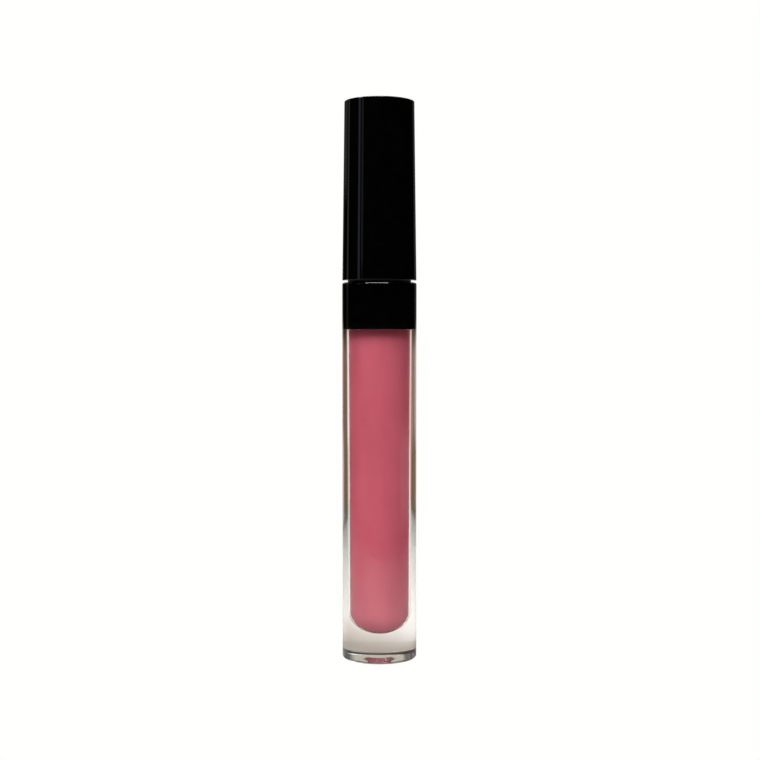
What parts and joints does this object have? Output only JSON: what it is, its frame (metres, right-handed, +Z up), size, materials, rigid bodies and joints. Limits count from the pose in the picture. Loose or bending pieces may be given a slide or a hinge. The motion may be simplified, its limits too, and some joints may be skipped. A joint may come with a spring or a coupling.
{
  "type": "lip gloss tube",
  "caption": "Slim round lip gloss tube: thick-walled clear bottle of pink gloss, black collar and tall black screw cap carrying a wand with a slanted flocked tip.",
  "frame": {"origin": "middle of the underside", "axes": "+Z up along the tube's own axis, from the base to the cap's top; +X and +Y are across the round tube"},
  "size_m": [0.016, 0.016, 0.1197],
  "materials": {
    "clear_plastic": "thick clear moulded copolyester, polished",
    "gloss_fill": "opaque rose pink viscous gloss, wet",
    "wiper_plastic": "natural milky low-density polyethylene",
    "black_plastic": "piano black, polished",
    "liner_foam": "white foamed polyethylene sheet",
    "insert_plastic": "black polypropylene, satin",
    "rod_plastic": "black polypropylene, smooth, filmed with gloss lower down",
    "tip_elastomer": "soft white elastomer",
    "nylon_flock": "short nylon flock soaked in gloss"
  },
  "bodies": {
    "bottle": {"bottle": "clear_plastic", "lip_gloss": "gloss_fill", "wiper": "wiper_plastic", "collar": "black_plastic"},
    "liner": {"seal_liner": "liner_foam"},
    "cap": {"outer_cap": "black_plastic", "inner_cap": "insert_plastic", "wand_rod": "rod_plastic", "applicator_core": "tip_elastomer", "flocking": "nylon_flock"}
  },
  "joints": [
    {"name": "cap_rise", "type": "slide", "parent": "bottle", "child": "liner", "axis": [0, 0, 1], "range_m": [0, 0.084]},
    {"name": "cap_turn", "type": "hinge", "parent": "liner", "child": "cap", "pos_m": [0, 0, 0.088], "axis": [0, 0, 1], "range_deg": [0, 10081]}
  ],
  "couplings": [
    {"joint": "cap_turn", "follows": "cap_rise", "rad_per_m": 2094.4}
  ]
}
